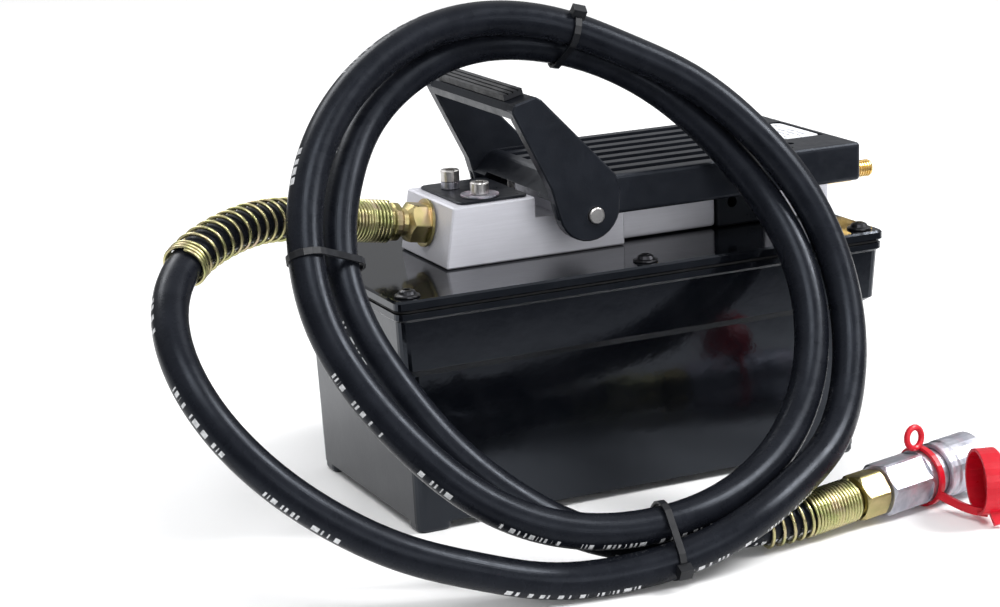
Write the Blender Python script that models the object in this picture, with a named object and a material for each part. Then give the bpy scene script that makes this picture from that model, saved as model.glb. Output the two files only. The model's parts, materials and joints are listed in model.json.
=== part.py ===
"""Air-driven hydraulic foot pump with its jack hose and quick coupler, built as separate solids.

Metres, +Z up. X runs along the tank, with the air inlet at +X and the hose port at -X, and +Y is the back.
Every piece is placed from the middle of the tank's footprint, which is the empty named tank_centre.
"""

import math

import bmesh
import bpy
from mathutils import Matrix, Vector

MM = 0.001
GAP = 0.3 * MM  # clearance kept between pieces that touch

# Driving dimensions
LID_LENGTH = 282.4 * MM
LID_WIDTH = 153.6 * MM
LID_MIDDLE = (1.2 * MM, 0)
LID_TOP = 124.65 * MM
LID_THICK = 5 * MM
GASKET_THICK = 1 * MM
FLOOR_CLEARANCE = 4.5 * MM
TANK_CENTRE = Vector((-23 * MM, 0, 0))  # puts the pump's own box, without the hose, in the middle

BLOCK_LEFT, BLOCK_LEFT_TOP, BLOCK_RIGHT = -91.7 * MM, -86.6 * MM, 11.3 * MM
BLOCK_HALF = 29.6 * MM
BLOCK_TOP = 156.65 * MM
PLATE_TOP = 158.1 * MM

PIVOT = Vector((-17.8 * MM, 0, 148.6 * MM))
PIN_RADIUS = 4.4 * MM
TREADLE_HALF = 53 * MM
TREADLE_TOP = 168.3 * MM
TREADLE_BOTTOM = 147.5 * MM
TREADLE_END = 143 * MM
TREADLE_WALL = 3.5 * MM
MOTOR_AXIS = 138 * MM

HOSE_RADIUS = 8.75 * MM
WIRE_RADIUS = 0.9 * MM
COIL_RADIUS = HOSE_RADIUS + WIRE_RADIUS + 0.7 * MM

SCREW_PLACES = [(x * MM, y * MM) for y in (-67, 67) for x in (-130, 3, 132.5)]
PLATE_SCREWS = {"near": (-65.5 * MM, -16 * MM), "far": (-70.3 * MM, 10.2 * MM)}

# The hose's route from the port ferrule to the coupler ferrule: a tail, two leaning turns and a tail.
HOSE_ROUTE = [Vector(p) * MM for p in (
    (-125, 0, 149.7), (-158.5, -10.6, 156.6), (-188.5, -27.7, 162.5), (-217, -47.4, 162.1),
    (-243.6, -69.3, 155), (-260.7, -97.6, 136.8), (-259.1, -128.6, 107.3), (-239.6, -148.4, 77.3),
    (-212.8, -162.7, 53.3), (-182.2, -174.9, 35.1), (-148.6, -180.4, 21.8), (-113.3, -183.4, 11.2),
    (-76.9, -188.6, 9.6), (-40.7, -191.8, 14.4), (-5.5, -188.8, 24.2), (27.4, -175.4, 34.2),
    (57, -159, 46.7), (77.7, -140.8, 70.5), (88.8, -121.7, 99.7), (89.6, -103.3, 131.2),
    (79.2, -87.3, 162.4), (59.7, -73.5, 190.1), (35.6, -58.5, 213.3), (5.2, -47.3, 230.5),
    (-27.3, -38.6, 245), (-62.9, -34.1, 251.9), (-99.2, -36, 248.5), (-132.4, -44.5, 235.8),
    (-160.2, -57.4, 215.9), (-180.2, -73.3, 189.8), (-190.7, -91.7, 160), (-191.4, -111.1, 129),
    (-180.7, -130, 99.7), (-162.4, -147.1, 72.8), (-138.8, -162.7, 49.7), (-107.9, -173.8, 33.8),
    (-72.4, -178.9, 27), (-35.8, -178.3, 27.6), (-0.9, -169.2, 33.6), (30.2, -155.4, 47),
    (54.3, -138.7, 68.6), (68.8, -119.7, 96.4), (72.5, -98.9, 126.1), (65.4, -77.1, 154.6),
    (49.4, -58.9, 182.1), (28.1, -41.4, 206.1), (-1.2, -29.5, 224.4), (-35.7, -23.5, 234.9),
    (-72.1, -23.4, 236.6), (-106.7, -30.4, 227.3), (-136, -42.1, 208.9), (-156.5, -59.3, 184),
    (-168.5, -77.9, 154.9), (-168.7, -97.8, 124.4), (-157.1, -115.8, 94.7), (-139.7, -132.1, 66.8),
    (-116.5, -147.3, 43.1), (-86.5, -158.8, 23.4), (-52.5, -166, 13), (-16.2, -170.3, 12.2),
    (14.4, -172.6, 12.2), (48.8, -168.7, 13.9),
)]
HOSE_POINTS = 72

# The port fitting stands square to the block's sloping left face, and the coupler lies on the floor.
PORT_FACE = Vector((-89.2 * MM, 0, 144 * MM))
PORT_AXIS = Vector((-0.9876, 0, 0.157)).normalized()
COUPLER_START = Vector((70.7, -164.65, 14.64)) * MM
COUPLER_AXIS = Vector((61.5, 11.3, 2)).normalized()


# ---------------------------------------------------------------- scene and materials

for old in list(bpy.data.objects):
    bpy.data.objects.remove(old)

centre = bpy.data.objects.new("tank_centre", None)
centre.location = TANK_CENTRE
bpy.context.scene.collection.objects.link(centre)


def material(name, colour, roughness, metallic):
    made = bpy.data.materials.new(name)
    made.use_nodes = True
    shader = made.node_tree.nodes["Principled BSDF"]
    shader.inputs["Base Color"].default_value = (*colour, 1)
    shader.inputs["Roughness"].default_value = roughness
    shader.inputs["Metallic"].default_value = metallic
    made.diffuse_color = (*colour, 1)
    return made


GLOSS_BLACK = material("gloss_black_paint", (0.012, 0.012, 0.014), 0.18, 0)
SATIN_BLACK = material("satin_black_paint", (0.018, 0.018, 0.02), 0.42, 0)
SATIN_ALUMINIUM = material("satin_aluminium", (0.62, 0.62, 0.66), 0.38, 1)
STEEL = material("bright_steel", (0.66, 0.65, 0.63), 0.25, 1)
ZINC = material("zinc_plate", (0.72, 0.72, 0.74), 0.22, 1)
YELLOW_ZINC = material("yellow_zinc", (0.66, 0.56, 0.27), 0.28, 1)
BRASS = material("brass", (0.72, 0.5, 0.2), 0.3, 1)
BLACK_STEEL = material("black_oxide_steel", (0.03, 0.03, 0.032), 0.35, 1)
HOSE_RUBBER = material("hose_rubber", (0.014, 0.014, 0.015), 0.45, 0)
SEAL_RUBBER = material("seal_rubber", (0.02, 0.02, 0.02), 0.6, 0)
TREAD_RUBBER = material("tread_rubber", (0.02, 0.02, 0.022), 0.7, 0)
BLACK_NYLON = material("black_nylon", (0.02, 0.02, 0.02), 0.5, 0)
RED_PLASTIC = material("red_plastic", (0.75, 0.015, 0.03), 0.35, 0)
LABEL_WHITE = material("label_white", (0.82, 0.83, 0.85), 0.3, 0)
FILTER_MESH = material("filter_mesh", (0.5, 0.48, 0.42), 0.5, 1)


# ---------------------------------------------------------------- shaping helpers

def place(name, mesh, finish, origin=(0, 0, 0), turn=None):
    """One object of the pump, under the tank's centre."""
    obj = bpy.data.objects.new(name, mesh)
    obj.parent = centre
    obj.matrix_basis = Matrix.Translation(origin) @ (turn or Matrix()).to_4x4()
    bpy.context.scene.collection.objects.link(obj)
    if finish:
        mesh.materials.append(finish)
    return obj


def mesh_of(name, bm):
    bmesh.ops.recalc_face_normals(bm, faces=bm.faces)
    mesh = bpy.data.meshes.new(name)
    bm.to_mesh(mesh)
    bm.free()
    return mesh


def helper(obj):
    """Marks a shape that only cuts or joins others."""
    obj.hide_render = True
    obj.display_type = "WIRE"
    return obj


def combine(obj, other, operation="DIFFERENCE"):
    step = obj.modifiers.new(operation.lower(), "BOOLEAN")
    step.object = helper(other)
    step.operation = operation
    step.solver = "EXACT"
    return obj


def bevel(obj, width, segments=2, angle=35):
    step = obj.modifiers.new("bevel", "BEVEL")
    step.width = width
    step.segments = segments
    step.limit_method = "ANGLE"
    step.angle_limit = math.radians(angle)
    return obj


def smooth(obj, angle=35):
    obj.data.shade_smooth()
    obj.data.set_sharp_from_angle(angle=math.radians(angle))
    return obj


def prism(name, finish, outline, start, end, origin=(0, 0, 0), turn=None):
    """A flat outline in X and Z, extruded along Y from start to end."""
    bm = bmesh.new()
    near = [bm.verts.new((x, start, z)) for x, z in outline]
    far = [bm.verts.new((x, end, z)) for x, z in outline]
    bm.faces.new(near)
    bm.faces.new(far)
    for i in range(len(near)):
        j = (i + 1) % len(near)
        bm.faces.new((near[i], near[j], far[j], far[i]))
    return place(name, mesh_of(name, bm), finish, origin, turn)


def block(name, finish, low, high):
    """A box between two corners."""
    outline = [(low[0], low[2]), (high[0], low[2]), (high[0], high[2]), (low[0], high[2])]
    return prism(name, finish, outline, low[1], high[1])


def rounded_rectangle(half_x, half_y, radius, steps=4):
    corners = ((1, 1, 0), (-1, 1, 90), (-1, -1, 180), (1, -1, 270))
    points = []
    for sx, sy, first in corners:
        for i in range(steps + 1):
            a = math.radians(first + 90 * i / steps)
            points.append((
                sx * (half_x - radius) + radius * math.cos(a),
                sy * (half_y - radius) + radius * math.sin(a),
            ))
    return points


def stack(name, finish, levels, middle=(0, 0)):
    """A solid of rounded rectangles, one at each level: (z, half_x, half_y, corner radius)."""
    bm = bmesh.new()
    rings = []
    for z, half_x, half_y, radius in levels:
        points = rounded_rectangle(half_x, half_y, radius)
        rings.append([bm.verts.new((middle[0] + x, middle[1] + y, z)) for x, y in points])
    for lower, upper in zip(rings, rings[1:]):
        for i in range(len(lower)):
            j = (i + 1) % len(lower)
            bm.faces.new((lower[i], lower[j], upper[j], upper[i]))
    bm.faces.new(rings[0])
    bm.faces.new(rings[-1])
    return place(name, mesh_of(name, bm), finish)


def facing(direction):
    """The turn that takes +Z to a direction."""
    return Vector((0, 0, 1)).rotation_difference(Vector(direction)).to_matrix()


def turned(name, finish, profile, origin=(0, 0, 0), direction=(0, 0, 1), steps=24, ring=False):
    """A solid of revolution: (radius, height) pairs from the top down the outside, closed back up the
    inside for a ring, and from axis to axis otherwise."""
    bm = bmesh.new()
    verts = [bm.verts.new((r, 0, h)) for r, h in profile]
    edges = [bm.edges.new(pair) for pair in zip(verts, verts[1:])]
    if ring:
        edges.append(bm.edges.new((verts[-1], verts[0])))
    bmesh.ops.spin(
        bm, geom=verts + edges, cent=(0, 0, 0), axis=(0, 0, 1), angle=2 * math.pi, steps=steps,
        use_merge=True,
    )
    bmesh.ops.remove_doubles(bm, verts=bm.verts, dist=1e-6)
    made = place(name, mesh_of(name, bm), finish, origin, facing(direction))
    return smooth(made)


def rod(name, finish, radius, start, end, steps=24, chamfer=0):
    """A plain cylinder from start to end, with optional chamfers."""
    start, end = Vector(start), Vector(end)
    length = (end - start).length
    profile = [(0, length), (radius - chamfer, length)]
    if chamfer:
        profile += [(radius, length - chamfer), (radius, chamfer)]
    profile += [(radius - chamfer, 0), (0, 0)]
    return turned(name, finish, profile, start, end - start, steps)


def tube(name, finish, outer, inner, start, end, steps=24):
    start, end = Vector(start), Vector(end)
    length = (end - start).length
    profile = [(inner, length), (outer, length), (outer, 0), (inner, 0)]
    return turned(name, finish, profile, start, end - start, steps, ring=True)


def merged(name, parts):
    """Several helper shapes, clear of each other, as one mesh."""
    bm = bmesh.new()
    for part in parts:
        part.data.transform(part.matrix_basis)
        bm.from_mesh(part.data)
        bpy.data.objects.remove(part)
    return place(name, mesh_of(name, bm), None)


def hexagon(name, across_flats, low, high, origin, direction):
    """A hexagonal bar, as a helper that trims a turned blank to a nut."""
    bm = bmesh.new()
    bmesh.ops.create_cone(
        bm, cap_ends=True, segments=6, radius1=across_flats / math.sqrt(3),
        radius2=across_flats / math.sqrt(3), depth=high - low,
        matrix=Matrix.Translation((0, 0, (low + high) / 2)),
    )
    return place(name, mesh_of(name, bm), None, origin, facing(direction))


def wire(name, finish, points, radius, sides=1):
    """A tube along a list of points, closed at both ends."""
    curve = bpy.data.curves.new(name, "CURVE")
    curve.dimensions = "3D"
    curve.bevel_depth = radius
    curve.bevel_resolution = sides
    curve.use_fill_caps = True
    spline = curve.splines.new("POLY")
    spline.points.add(len(points) - 1)
    for slot, p in zip(spline.points, points):
        slot.co = (*p, 1)
    return place(name, curve, finish)


# ---------------------------------------------------------------- tank

def inset_level(z, inset, radius):
    return z, LID_LENGTH / 2 - inset, LID_WIDTH / 2 - inset, radius


TANK_TOP = LID_TOP - LID_THICK - GASKET_THICK - 2 * GAP
CAVITY = (124 * MM, 61 * MM)


def screw_holes(name, radius, low, high):
    return merged(name, [
        rod(f"{name}_{i}", None, radius, (x, y, low), (x, y, high), 12)
        for i, (x, y) in enumerate(SCREW_PLACES)
    ])


def make_tank():
    """The cast reservoir: a flanged rim, an upper band, a step, and a drafted lower body on four feet."""
    body = stack("tank_body", GLOSS_BLACK, [
        inset_level(FLOOR_CLEARANCE, 11.2 * MM, 5 * MM),
        inset_level(83.5 * MM, 8.8 * MM, 5 * MM),
        inset_level(88 * MM, 3.4 * MM, 5 * MM),
        inset_level(113.5 * MM, 1.9 * MM, 5 * MM),
        inset_level(115 * MM, 0.5 * MM, 4.5 * MM),
        inset_level(TANK_TOP, 0.5 * MM, 4.5 * MM),
    ], LID_MIDDLE)
    foot_x, foot_y = LID_LENGTH / 2 - 21.2 * MM, LID_WIDTH / 2 - 19.6 * MM
    feet = [
        stack(f"foot_{sx}_{sy}", None, [
            (0, 8.8 * MM, 7.3 * MM, 4.2 * MM), (1.5 * MM, 9.6 * MM, 8.1 * MM, 4.6 * MM),
            (12 * MM, 9.6 * MM, 8.1 * MM, 4.6 * MM),
        ], (LID_MIDDLE[0] + sx * foot_x, sy * foot_y))
        for sx in (-1, 1) for sy in (-1, 1)
    ]
    combine(body, merged("feet", feet), "UNION")
    combine(body, stack("tank_cavity", None, [
        (10 * MM, CAVITY[0] - 4 * MM, CAVITY[1] - 4 * MM, 5 * MM), (14 * MM, *CAVITY, 8 * MM),
        (130 * MM, *CAVITY, 8 * MM),
    ]))
    combine(body, screw_holes("tank_screw_holes", 3 * MM, 100 * MM, 130 * MM))
    smooth(body)


def make_gasket():
    low = TANK_TOP + GAP
    gasket = stack("lid_gasket", SEAL_RUBBER, [
        inset_level(low, 1.2 * MM, 5 * MM), inset_level(low + GASKET_THICK, 1.2 * MM, 5 * MM),
    ], LID_MIDDLE)
    combine(gasket, stack("gasket_window", None, [
        (100 * MM, *CAVITY, 8 * MM), (130 * MM, *CAVITY, 8 * MM),
    ]))
    combine(gasket, screw_holes("gasket_screw_holes", 3.3 * MM, 100 * MM, 130 * MM))


def make_lid():
    low = LID_TOP - LID_THICK
    lid = stack("tank_lid", GLOSS_BLACK, [
        inset_level(low, 0.6 * MM, 4 * MM), inset_level(low + 0.6 * MM, 0, 4 * MM),
        inset_level(LID_TOP - 1 * MM, 0, 4 * MM), inset_level(LID_TOP, 1 * MM, 3.4 * MM),
    ], LID_MIDDLE)
    combine(lid, screw_holes("lid_screw_holes", 3.3 * MM, 100 * MM, 140 * MM))
    combine(lid, rod("lid_tube_hole", None, 4.4 * MM, (-45 * MM, 0, 0.1), (-45 * MM, 0, 0.14), 16))
    smooth(lid)


def make_lid_screws():
    head_low = LID_TOP + GAP
    for i, (x, y) in enumerate(SCREW_PLACES, 1):
        screw = turned(f"lid_screw_{i}", BLACK_STEEL, [
            (0, 3.5 * MM), (2.6 * MM, 3.4 * MM), (4 * MM, 2.7 * MM), (4.7 * MM, 1.3 * MM),
            (6.3 * MM, 0.8 * MM), (6.5 * MM, 0), (2.7 * MM, 0), (2.7 * MM, -18 * MM), (0, -18 * MM),
        ], (x, y, head_low), steps=16)
        combine(screw, hexagon(f"socket_{i}", 3.6 * MM, 1.8 * MM, 6 * MM, (x, y, head_low), (0, 0, 1)))


# ---------------------------------------------------------------- pump head

def along(start, axis, distance):
    return Vector(start) + Vector(axis) * distance


def make_pump_block():
    low = LID_TOP + GAP
    outline = [(BLOCK_LEFT, low), (BLOCK_RIGHT, low), (BLOCK_RIGHT, BLOCK_TOP), (BLOCK_LEFT_TOP, BLOCK_TOP)]
    body = bevel(prism("pump_block", SATIN_ALUMINIUM, outline, -BLOCK_HALF, BLOCK_HALF), 0.8 * MM, 1)
    combine(body, block("lever_slot", None, (-40.7 * MM, -0.05, 146 * MM), (-27 * MM, 0.05, 0.2)))
    bores = [
        ("pivot_bore", PIN_RADIUS + GAP, PIVOT + Vector((0, -0.05, 0)), PIVOT + Vector((0, 0.05, 0))),
        ("plunger_bore", 3.8 * MM, (-62 * MM, 0, MOTOR_AXIS), (0.03, 0, MOTOR_AXIS)),
        ("port_bore", 7 * MM, along(PORT_FACE, PORT_AXIS, -18 * MM), along(PORT_FACE, PORT_AXIS, 20 * MM)),
        ("flow_passage", 1.4 * MM, (-76 * MM, 0, 140.2 * MM), (-60 * MM, 0, 140.2 * MM)),
        ("suction_bore", 4.4 * MM, (-45 * MM, 0, 0.11), (-45 * MM, 0, 129.5 * MM)),
        ("inlet_seat", 2.6 * MM, (-45 * MM, 0, 128 * MM), (-45 * MM, 0, 136 * MM)),
        ("release_bore", 2.4 * MM, (-34 * MM, 12 * MM, 134 * MM), (-34 * MM, 12 * MM, 0.16)),
    ]
    bores += [
        (f"plate_bore_{side}", 2.9 * MM, (x, y, 140 * MM), (x, y, 0.2))
        for side, (x, y) in PLATE_SCREWS.items()
    ]
    for name, radius, start, end in bores:
        combine(body, rod(name, None, radius, start, end, 16))


def make_top_plate():
    low = BLOCK_TOP + GAP
    plate = stack("block_top_plate", SATIN_BLACK, [
        (low, 19.5 * MM, 26.5 * MM, 4 * MM), (PLATE_TOP - 0.4 * MM, 19.5 * MM, 26.5 * MM, 4 * MM),
        (PLATE_TOP, 19.1 * MM, 26.1 * MM, 4 * MM),
    ], (-62 * MM, 0))
    holes = [
        rod(f"plate_hole_{side}", None, 3.3 * MM, (x, y, 0.14), (x, y, 0.18), 16)
        for side, (x, y) in PLATE_SCREWS.items()
    ]
    combine(plate, merged("plate_holes", holes))


def make_plate_screws():
    """Two socket cap screws: the near one on a wide washer, the far one on a spacer."""
    lifts = {"near": 1 * MM, "far": 3.6 * MM}
    radii = {"near": 10 * MM, "far": 4.9 * MM}
    names = {"near": "wide_washer", "far": "screw_spacer"}
    for side, (x, y) in PLATE_SCREWS.items():
        low = PLATE_TOP + GAP
        tube(names[side], ZINC, radii[side], 3.3 * MM, (x, y, low), (x, y, low + lifts[side]))
        head = low + lifts[side] + GAP
        screw = turned(f"plate_screw_{side}", STEEL, [
            (0, 6 * MM), (4.5 * MM, 6 * MM), (5 * MM, 5.4 * MM), (5 * MM, 0),
            (2.6 * MM, 0), (2.6 * MM, -18 * MM), (0, -18 * MM),
        ], (x, y, head))
        socket = hexagon(f"plate_socket_{side}", 5 * MM, 3 * MM, 9 * MM, (x, y, head), (0, 0, 1))
        combine(screw, socket)


def make_plunger_group():
    """The hydraulic plunger, pushed by the air piston, and the two balls that check the oil."""
    rod("plunger", STEEL, 3.5 * MM, (-38 * MM, 0, MOTOR_AXIS), (43.7 * MM, 0, MOTOR_AXIS), 16, 0.5 * MM)
    radius, groove = 11.6 * MM, 9.8 * MM
    turned("air_piston", SATIN_ALUMINIUM, [
        (0, 12 * MM), (radius, 12 * MM), (radius, 8 * MM), (groove, 8 * MM), (groove, 4 * MM),
        (radius, 4 * MM), (radius, 0), (0, 0),
    ], (44 * MM, 0, MOTOR_AXIS), (1, 0, 0))
    turned("piston_seal", SEAL_RUBBER, [
        (10.1 * MM, 7.7 * MM), (11.7 * MM, 7.7 * MM), (11.7 * MM, 4.3 * MM), (10.1 * MM, 4.3 * MM),
    ], (44 * MM, 0, MOTOR_AXIS), (1, 0, 0), ring=True)
    for name, radius, middle in (
        ("inlet_check_ball", 2.2 * MM, Vector((-45 * MM, 0, 131.8 * MM))),
        ("outlet_check_ball", 3 * MM, along(PORT_FACE, PORT_AXIS, -14.4 * MM)),
    ):
        arc = [math.radians(90 - 180 * i / 8) for i in range(9)]
        turned(name, STEEL, [(radius * max(0, math.cos(a)), radius * math.sin(a)) for a in arc], middle, steps=12)


def make_suction():
    """The tube that draws oil from the tank, and its strainer near the floor."""
    tube("suction_tube", ZINC, 4 * MM, 2.6 * MM, (-45 * MM, 0, 20 * MM), (-45 * MM, 0, 129 * MM), 16)
    turned("suction_filter", FILTER_MESH, [
        (4.3 * MM, 24 * MM), (9 * MM, 24 * MM), (9 * MM, 0), (0, 0), (0, 2 * MM), (7.4 * MM, 2 * MM),
        (7.4 * MM, 22 * MM), (4.3 * MM, 22 * MM),
    ], (-45 * MM, 0, 13 * MM), steps=16, ring=True)


# ---------------------------------------------------------------- air motor

def make_air_motor():
    low = LID_TOP + 0.8 * MM
    barrel = block("air_motor_body", SATIN_ALUMINIUM, (11.6 * MM, -21 * MM, low), (71.2 * MM, 21 * MM, 152 * MM))
    bevel(barrel, 2 * MM, 3)
    combine(barrel, rod("motor_bore", None, 12 * MM, (0, 0, MOTOR_AXIS), (0.1, 0, MOTOR_AXIS), 32))
    housing = block(
        "air_valve_housing", SATIN_BLACK, (71.5 * MM, -23 * MM, LID_TOP + GAP), (100 * MM, 23 * MM, 150 * MM)
    )
    bevel(housing, 1.2 * MM, 2)
    combine(housing, rod("valve_bore", None, 2.8 * MM, (80 * MM, 0, 129 * MM), (80 * MM, 0, 0.2), 16))
    combine(housing, rod("exhaust_hole", None, 3 * MM, (80.5 * MM, -0.05, 138 * MM), (80.5 * MM, -0.012, 138 * MM), 16))
    head = block(
        "motor_end_head", SATIN_ALUMINIUM, (100.3 * MM, -24 * MM, LID_TOP + GAP), (141.2 * MM, 24 * MM, 149 * MM)
    )
    bevel(head, 1.2 * MM, 2)
    inlet = Vector((141.5 * MM, 0, 141 * MM))
    combine(head, rod("inlet_bore", None, 5.6 * MM, inlet - Vector((0.018, 0, 0)), inlet + Vector((0.01, 0, 0))))
    make_air_inlet(inlet)
    make_air_valve()


def make_air_valve():
    """The pin that the cover presses to let air in, and the spring that lifts it back."""
    top = TREADLE_TOP - TREADLE_WALL - 0.4 * MM
    foot = 138 * MM
    turned("air_valve_pin", STEEL, [
        (0, top), (4.2 * MM, top), (4.8 * MM, top - 0.6 * MM), (4.8 * MM, top - 1.8 * MM),
        (2.5 * MM, top - 1.8 * MM), (2.5 * MM, foot + 0.4 * MM), (2.1 * MM, foot), (0, foot),
    ], (80 * MM, 0, 0), steps=18)
    low, high, turns, steps = 151.1 * MM, top - 2.9 * MM, 4, 10
    points = []
    for i in range(steps * turns + 1):
        a = 2 * math.pi * i / steps
        rise = low + (high - low) * i / (steps * turns)
        points.append((80 * MM + 3.9 * MM * math.cos(a), 3.9 * MM * math.sin(a), rise))
    wire("valve_return_spring", STEEL, points, 0.55 * MM)


def make_air_inlet(inlet):
    """The brass air connection: a thread in the head, a hexagon, and a long threaded spigot."""
    profile = [(3 * MM, 41.5 * MM), (4.3 * MM, 41.5 * MM)]
    for i in range(7):
        top = (40.5 - 1.6 * i) * MM
        profile += [(4.8 * MM, top), (4.8 * MM, top - 0.6 * MM), (4.2 * MM, top - 0.9 * MM), (4.2 * MM, top - 1.3 * MM)]
    profile += [
        (4.8 * MM, 29 * MM), (6.4 * MM, 28 * MM), (6.4 * MM, 14 * MM), (8.6 * MM, 13 * MM),
        (9.2 * MM, 12 * MM), (9.2 * MM, 1 * MM), (8.6 * MM, 0.2 * MM), (5.3 * MM, 0.2 * MM),
        (5.3 * MM, -12 * MM), (3 * MM, -12 * MM),
    ]
    fitting = turned("air_inlet_fitting", BRASS, profile, inlet, (1, 0, 0), 18, ring=True)
    # A ring with a six-sided inside trims the collar to a hexagon.
    ring_cut = turned("inlet_collar", None, [
        (7.4 * MM, 14.5 * MM), (16 * MM, 14.5 * MM), (16 * MM, 0), (7.4 * MM, 0),
    ], inlet, (1, 0, 0), 6, ring=True)
    combine(fitting, ring_cut)


# ---------------------------------------------------------------- treadle

LOBE = Vector((-21 * MM, 0, 153 * MM))
LOBE_RADIUS = 17.6 * MM
BAR_TOP = [(-61.4 * MM, 210 * MM), (-49.6 * MM, 213 * MM)]


def arm_outline():
    """The rocker arm: the pedal's end, the straight right edge, the round lobe and the left edge."""
    lobe = []
    for i in range(13):
        a = math.radians(-12 - 156 * i / 12)
        lobe.append((LOBE.x + LOBE_RADIUS * math.cos(a), LOBE.z + LOBE_RADIUS * math.sin(a)))
    top = [(-63.2 * MM, 206.4 * MM), (-61.6 * MM, 210.2 * MM), (-49.6 * MM, 213.2 * MM), (-46.6 * MM, 211.4 * MM)]
    return top + [(-5.5 * MM, 168.6 * MM), (-3.2 * MM, 160 * MM)] + lobe + [(-42.6 * MM, 165 * MM)]


def make_treadle():
    """One casting: the ribbed cover over the air motor, two arms down to the pin, and the pedal bar."""
    outline = [
        (-39 * MM, TREADLE_BOTTOM), (-41 * MM, 157.4 * MM), (-29 * MM, TREADLE_TOP),
        (TREADLE_END, TREADLE_TOP), (TREADLE_END, TREADLE_BOTTOM),
    ]
    cover = bevel(prism("treadle", SATIN_BLACK, outline, -TREADLE_HALF, TREADLE_HALF), 2.2 * MM, 3, 25)
    inner_top = TREADLE_TOP - TREADLE_WALL
    inner_half = TREADLE_HALF - TREADLE_WALL
    combine(cover, prism("cover_cavity", None, [
        (-0.07, 0.12), (-0.07, 157.6 * MM), (-37 * MM, 157.6 * MM), (-28 * MM, inner_top),
        (TREADLE_END - TREADLE_WALL, inner_top), (TREADLE_END - TREADLE_WALL, 0.12),
    ], -inner_half, inner_half))
    combine(cover, block("end_window", None, (0.13, -27 * MM, 0.12), (0.15, 27 * MM, 161 * MM)))
    grooves = [
        block(f"groove_{i}", None, (-25 * MM, (13.8 * i - 3.9) * MM, 166.2 * MM), (106 * MM, (13.8 * i + 3.9) * MM, 0.18))
        for i in range(-3, 4)
    ]
    combine(cover, merged("grooves", grooves))
    combine(cover, block("label_recess", None, (114 * MM, -23 * MM, 167.2 * MM), (139 * MM, 24 * MM, 0.18)))
    combine(cover, rod("sight_hole", None, 2.6 * MM, (110 * MM, -34 * MM, 0.15), (110 * MM, -34 * MM, 0.18), 16))
    for side, sign in (("near", -1), ("far", 1)):
        arm = prism(f"arm_{side}", None, arm_outline(), sign * 46 * MM, sign * (TREADLE_HALF + 0.5 * MM))
        combine(cover, bevel(arm, 0.8 * MM, 1), "UNION")
    bar = prism("pedal_bar", None, [
        (-63 * MM, 206.4 * MM), *BAR_TOP, (-46.9 * MM, 211.2 * MM), (-47.8 * MM, 207 * MM), (-61.5 * MM, 202.4 * MM),
    ], -50 * MM, 50 * MM)
    combine(cover, bar, "UNION")
    reach = Vector((0, 0.07, 0))
    combine(cover, rod("arm_bores", None, PIN_RADIUS + GAP, PIVOT - reach, PIVOT + reach, 20))
    combine(cover, block("block_relief", None, (-0.06, -32 * MM, 0.12), (13 * MM, 32 * MM, 159.4 * MM)))
    smooth(cover, 30)


def make_tread():
    """The ribbed foot grip on the pedal bar."""
    (x0, z0), (x1, z1) = BAR_TOP
    run = Vector((x1 - x0, 0, z1 - z0))
    up = Vector((-run.z, 0, run.x)).normalized()
    base = Vector((x0, 0, z0)) + up * GAP
    points = [base + run * 0.04]
    for i in range(4):
        a, b = 0.04 + 0.24 * i, 0.04 + 0.24 * i + 0.17
        points += [base + run * a + up * 3.2 * MM, base + run * b + up * 3.2 * MM]
        if i < 3:
            points += [base + run * (b + 0.01) + up * 2.2 * MM, base + run * (b + 0.06) + up * 2.2 * MM]
    points.append(base + run * 0.93)
    prism("release_tread", TREAD_RUBBER, [(p.x, p.z) for p in points], -40.5 * MM, 40.5 * MM)


def make_treadle_fittings():
    pin_reach = Vector((0, TREADLE_HALF + 2.4 * MM, 0))
    rod("pivot_pin", STEEL, PIN_RADIUS, PIVOT - pin_reach, PIVOT + pin_reach, 24, 0.6 * MM)
    for side, sign in (("near", -1), ("far", 1)):
        start = PIVOT + Vector((0, sign * (BLOCK_HALF + GAP), 0))
        end = PIVOT + Vector((0, sign * (46 * MM - GAP), 0))
        tube(f"pivot_spacer_{side}", BLACK_NYLON, 7.5 * MM, PIN_RADIUS + GAP, start, end)
    low = 167.2 * MM + GAP
    label = stack("rating_label", LABEL_WHITE, [
        (low, 11.2 * MM, 21.4 * MM, 3.5 * MM), (low + 0.5 * MM, 11.2 * MM, 21.4 * MM, 3.5 * MM),
    ], (126.5 * MM, 0.5 * MM))
    smooth(label)
    rod("release_pin", STEEL, 2 * MM, (-34 * MM, 12 * MM, 137 * MM), (-34 * MM, 12 * MM, 158.8 * MM), 16, 0.4 * MM)


# ---------------------------------------------------------------- hose

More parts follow.
